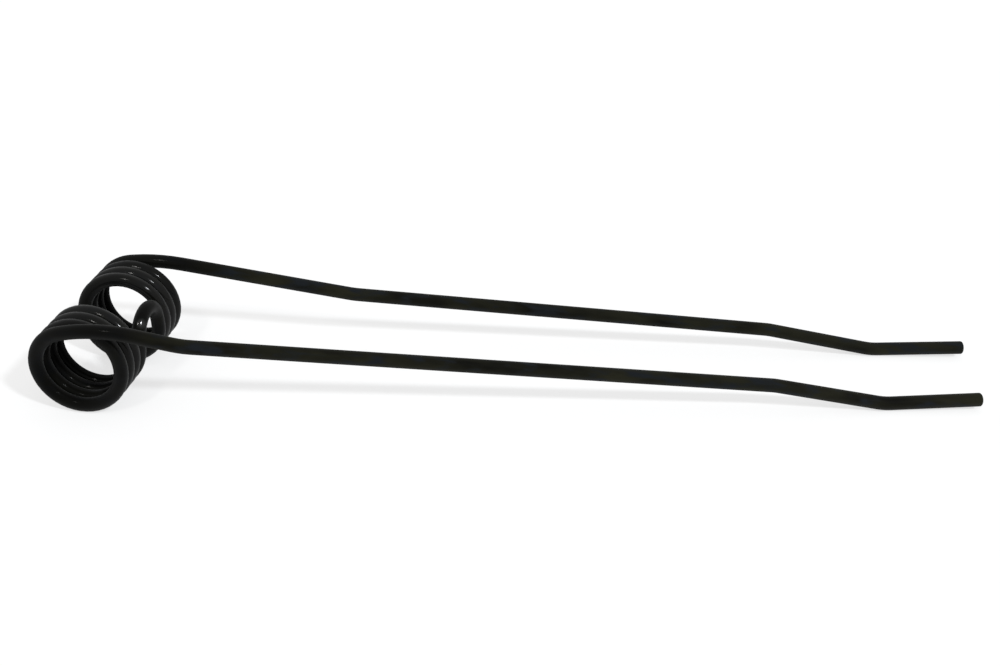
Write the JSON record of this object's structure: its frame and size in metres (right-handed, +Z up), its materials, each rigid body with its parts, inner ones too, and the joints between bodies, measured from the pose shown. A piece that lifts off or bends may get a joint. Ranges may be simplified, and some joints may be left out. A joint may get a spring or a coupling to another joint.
{
  "type": "rake spring tine",
  "caption": "Double spring tine bent from one round wire: two close-wound coils joined by a loop, each with a long cranked arm that rakes hay.",
  "frame": {"origin": "on the coil axis, midway between the two coils", "axes": "+X runs out along the arms, +Y is the coil axis from the near coil to the far coil, +Z is up with the tine lying on its coils and low bends"},
  "size_m": [0.5272, 0.1904, 0.0582],
  "materials": {
    "spring_wire": "glossy black paint"
  },
  "bodies": {
    "root": {"tine_wire": "spring_wire"}
  },
  "joints": []
}
